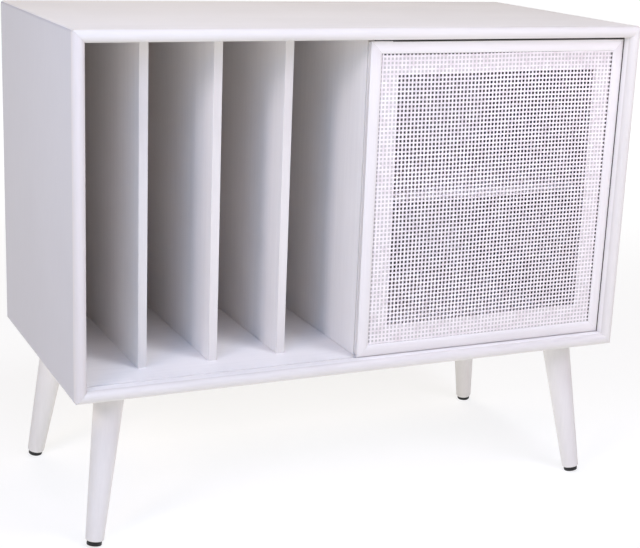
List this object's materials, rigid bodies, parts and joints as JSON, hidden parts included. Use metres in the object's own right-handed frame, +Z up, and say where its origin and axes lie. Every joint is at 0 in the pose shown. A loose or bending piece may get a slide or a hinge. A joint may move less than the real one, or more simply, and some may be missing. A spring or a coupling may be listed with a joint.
{
  "type": "record cabinet",
  "caption": "Low cabinet with a rounded mitred case, open record slots on the left, a sliding cane-panelled door on the right and splayed tapered legs.",
  "frame": {"origin": "on the floor under the middle of the case", "axes": "+X to the right along the case's length, +Y from the open front to the back panel, +Z up"},
  "size_m": [1, 0.478, 0.832],
  "materials": {
    "case_paint": "white limewash paint, matt, with a faint grain",
    "door_paint": "white limewash paint, matt, with a faint grain",
    "leg_paint": "white limewash paint, matt",
    "back_board": "white painted thin board, matt",
    "cane": "white painted woven cane, matt",
    "zinc_steel": "zinc plated, satin",
    "white_nylon": "natural white nylon, satin",
    "grey_rubber": "pale grey rubber, matt",
    "black_plastic": "black moulding, satin"
  },
  "bodies": {
    "case": {"top_board": "case_paint", "bottom_board": "case_paint", "left_side_board": "case_paint", "right_side_board": "case_paint", "back_panel": "back_board", "record_divider_1": "case_paint", "record_divider_2": "case_paint", "record_divider_3": "case_paint", "centre_partition": "case_paint", "cupboard_shelf": "case_paint", "shelf_pin_front_left": "zinc_steel", "shelf_pin_back_left": "zinc_steel", "shelf_pin_front_right": "zinc_steel", "shelf_pin_back_right": "zinc_steel", "leg_front_left": "leg_paint", "leg_plate_front_left": "zinc_steel", "leg_bolt_front_left": "zinc_steel", "glide_front_left": "black_plastic", "leg_front_right": "leg_paint", "leg_plate_front_right": "zinc_steel", "leg_bolt_front_right": "zinc_steel", "glide_front_right": "black_plastic", "leg_back_left": "leg_paint", "leg_plate_back_left": "zinc_steel", "leg_bolt_back_left": "zinc_steel", "glide_back_left": "black_plastic", "leg_back_right": "leg_paint", "leg_plate_back_right": "zinc_steel", "leg_bolt_back_right": "zinc_steel", "glide_back_right": "black_plastic", "door_buffer_left_lower": "grey_rubber", "door_buffer_left_upper": "grey_rubber", "door_buffer_right_lower": "grey_rubber", "door_buffer_right_upper": "grey_rubber"},
    "door": {"door_top_rail": "door_paint", "door_bottom_rail": "door_paint", "door_left_stile": "door_paint", "door_right_stile": "door_paint", "door_cane_panel": "cane", "door_guide_top_left": "white_nylon", "door_guide_top_right": "white_nylon", "door_runner_bottom_left": "white_nylon", "door_runner_bottom_right": "white_nylon"}
  },
  "joints": [
    {"name": "door_slide", "type": "slide", "parent": "case", "child": "door", "axis": [-1, 0, 0], "range_m": [0, 0.4689]}
  ]
}
